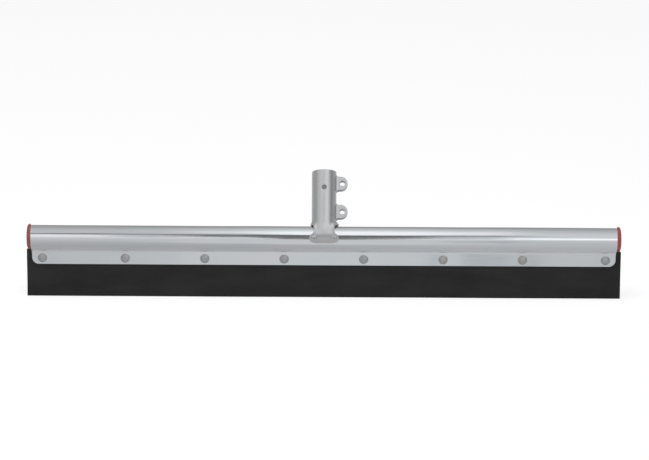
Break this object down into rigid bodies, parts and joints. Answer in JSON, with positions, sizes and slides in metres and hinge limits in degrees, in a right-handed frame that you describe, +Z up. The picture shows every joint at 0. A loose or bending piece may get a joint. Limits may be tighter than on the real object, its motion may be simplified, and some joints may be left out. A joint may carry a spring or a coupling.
{
  "type": "floor squeegee",
  "caption": "Floor squeegee head: long black rubber blade riveted into a rolled zinc-bright sheet channel with red end plugs and a split clamp socket for a round handle.",
  "frame": {"origin": "middle of the blade's wiping edge, on the floor when the blade stands upright", "axes": "+X along the blade to the right as seen from the front, +Z up the blade's plane, +Y to the rear, the way the handle socket leans"},
  "size_m": [0.61, 0.0604, 0.1294],
  "materials": {
    "zinc_sheet": "bright zinc-coated sheet, rolled",
    "rivet_steel": "dull plated rivet steel",
    "black_rubber": "matte moulded rubber",
    "red_plastic": "satin moulded plastic"
  },
  "bodies": {
    "head": {"channel": "zinc_sheet", "end_cap_left": "red_plastic", "end_cap_right": "red_plastic", "handle_socket": "zinc_sheet", "blade_rivet_1": "rivet_steel", "blade_rivet_2": "rivet_steel", "blade_rivet_3": "rivet_steel", "blade_rivet_4": "rivet_steel", "blade_rivet_5": "rivet_steel", "blade_rivet_6": "rivet_steel", "blade_rivet_7": "rivet_steel", "blade_rivet_8": "rivet_steel", "socket_rivet_front_left": "rivet_steel", "socket_rivet_front_right": "rivet_steel", "socket_rivet_rear_left": "rivet_steel", "socket_rivet_rear_right": "rivet_steel"},
    "blade": {"rubber_blade": "black_rubber"}
  },
  "joints": [
    {"name": "blade_flex", "type": "hinge", "parent": "head", "child": "blade", "pos_m": [0, 0, 0.0344], "axis": [1, 0, 0], "range_deg": [-30, 30], "stiffness_Nm_per_rad": 2.2, "deforming": ["rubber_blade"]}
  ]
}
